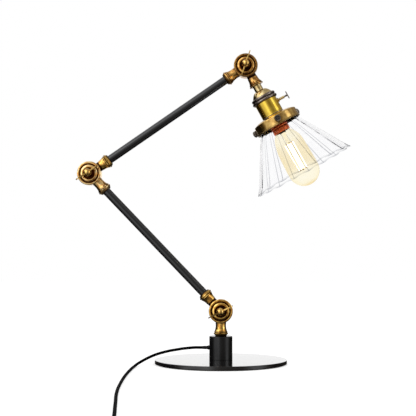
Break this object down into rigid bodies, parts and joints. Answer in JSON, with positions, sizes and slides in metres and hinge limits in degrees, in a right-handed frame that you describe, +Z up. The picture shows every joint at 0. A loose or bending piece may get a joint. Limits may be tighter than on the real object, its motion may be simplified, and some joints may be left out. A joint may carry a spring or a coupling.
{
  "type": "accordion desk lamp",
  "caption": "Adjustable desk lamp with a round base, jointed arms on wing-key knuckles, a brass lamp holder, a ribbed glass cone shade and a cord with plug.",
  "frame": {"origin": "on the table, under the middle of the round base, on the underside of the felt pad", "axes": "+Z up, +X to the right as the front is seen, the front faces -Y; both arms lie in the XZ plane and the knuckles turn about Y"},
  "size_m": [0.3949, 0.7725, 0.4483],
  "materials": {
    "gloss_black_enamel": "gloss black stoved enamel on a polished steel disc",
    "satin_black_lacquer": "satin black lacquer on steel",
    "antique_brass": "cast, turned and lacquered antique brass",
    "polished_brass": "polished and lacquered brass",
    "dark_bronze": "brass with a dark bronze patina",
    "plated_steel": "zinc plated steel",
    "felt": "black felt",
    "friction_fibre": "dark pressed fibre",
    "porcelain": "unglazed white porcelain",
    "wire_sleeve": "insulated wire",
    "clear_glass": "clear pressed glass",
    "amber_glass": "amber tinted blown glass, lit",
    "copper_cap": "copper coloured threaded cap",
    "filament_glow": "glowing coated filament",
    "black_cord": "black flexible cord sheath",
    "black_plastic": "moulded black plastic"
  },
  "bodies": {
    "base": {"base_disc": "gloss_black_enamel", "base_pad": "felt", "base_post": "satin_black_lacquer", "post_screws": "plated_steel", "post_nipple": "plated_steel", "post_nut": "plated_steel", "terminal_block": "porcelain", "cord_tail": "black_cord", "base_leads": "wire_sleeve", "strain_relief": "black_plastic", "shoulder_front": "antique_brass", "shoulder_washer": "friction_fibre", "cord_run": "black_cord", "cord_coil": "black_cord", "coil_tie": "black_plastic", "plug_body": "black_plastic", "plug_blades": "polished_brass"},
    "shoulder_key": {"shoulder_key": "polished_brass"},
    "lower_arm": {"shoulder_rear": "antique_brass", "shoulder_nut": "antique_brass", "lower_tube": "satin_black_lacquer", "lower_leads": "wire_sleeve", "elbow_front": "antique_brass", "elbow_washer": "friction_fibre"},
    "elbow_key": {"elbow_key": "polished_brass"},
    "upper_arm": {"elbow_rear": "antique_brass", "elbow_nut": "antique_brass", "upper_tube": "satin_black_lacquer", "upper_leads": "wire_sleeve", "head_front": "antique_brass", "head_washer": "friction_fibre"},
    "head_key": {"head_key": "polished_brass"},
    "head": {"head_rear": "antique_brass", "head_nut": "antique_brass", "head_adapter": "antique_brass", "head_leads": "wire_sleeve", "adapter_nut": "plated_steel", "socket_dome": "antique_brass", "socket_ring": "dark_bronze", "socket_sleeve": "polished_brass", "socket_core": "porcelain", "screw_shell": "polished_brass", "centre_contact": "polished_brass", "switch_bushing": "polished_brass", "clamp_band": "dark_bronze", "gallery": "polished_brass", "gallery_nut": "dark_bronze", "glass_shade": "clear_glass", "lamp_cap": "copper_cap", "cap_contact": "plated_steel", "bulb_glass": "amber_glass", "bulb_stem": "amber_glass", "filaments": "filament_glow", "filament_hanger": "plated_steel"},
    "switch_key": {"switch_key": "dark_bronze"},
    "thumb_screw_1": {"thumb_screw_1": "dark_bronze"},
    "thumb_screw_2": {"thumb_screw_2": "dark_bronze"},
    "thumb_screw_3": {"thumb_screw_3": "dark_bronze"}
  },
  "joints": [
    {"name": "shoulder", "type": "hinge", "parent": "base", "child": "lower_arm", "pos_m": [0, 0, 0.0756], "axis": [0, 1, 0], "range_deg": [-30, 60]},
    {"name": "elbow", "type": "hinge", "parent": "lower_arm", "child": "upper_arm", "pos_m": [-0.1902, 0, 0.27394], "axis": [0, 1, 0], "range_deg": [-100, 25]},
    {"name": "head", "type": "hinge", "parent": "upper_arm", "child": "head", "pos_m": [0.03627, 0, 0.42959], "axis": [0, 1, 0], "range_deg": [-150, 28]},
    {"name": "shoulder_key_turn", "type": "hinge", "parent": "base", "child": "shoulder_key", "pos_m": [0, 0, 0.0756], "axis": [0, 1, 0], "range_deg": [-90, 90]},
    {"name": "elbow_key_turn", "type": "hinge", "parent": "lower_arm", "child": "elbow_key", "pos_m": [-0.1902, 0, 0.27394], "axis": [0, 1, 0], "range_deg": [-90, 90]},
    {"name": "head_key_turn", "type": "hinge", "parent": "upper_arm", "child": "head_key", "pos_m": [0.03627, 0, 0.42959], "axis": [0, 1, 0], "range_deg": [-90, 90]},
    {"name": "switch_turn", "type": "hinge", "parent": "head", "child": "switch_key", "pos_m": [0.06806, 0, 0.37175], "axis": [0.8763, 0, 0.4818], "continuous": true},
    {"name": "thumb_screw_1_turn", "type": "hinge", "parent": "head", "child": "thumb_screw_1", "pos_m": [0.08069, 0, 0.34879], "axis": [0, -1, 0], "range_deg": [-180, 180]},
    {"name": "thumb_screw_2_turn", "type": "hinge", "parent": "head", "child": "thumb_screw_2", "pos_m": [0.08069, 0, 0.34879], "axis": [-0.7589, 0.5, -0.4172], "range_deg": [-180, 180]},
    {"name": "thumb_screw_3_turn", "type": "hinge", "parent": "head", "child": "thumb_screw_3", "pos_m": [0.08069, 0, 0.34879], "axis": [0.7589, 0.5, 0.4172], "range_deg": [-180, 180]}
  ]
}
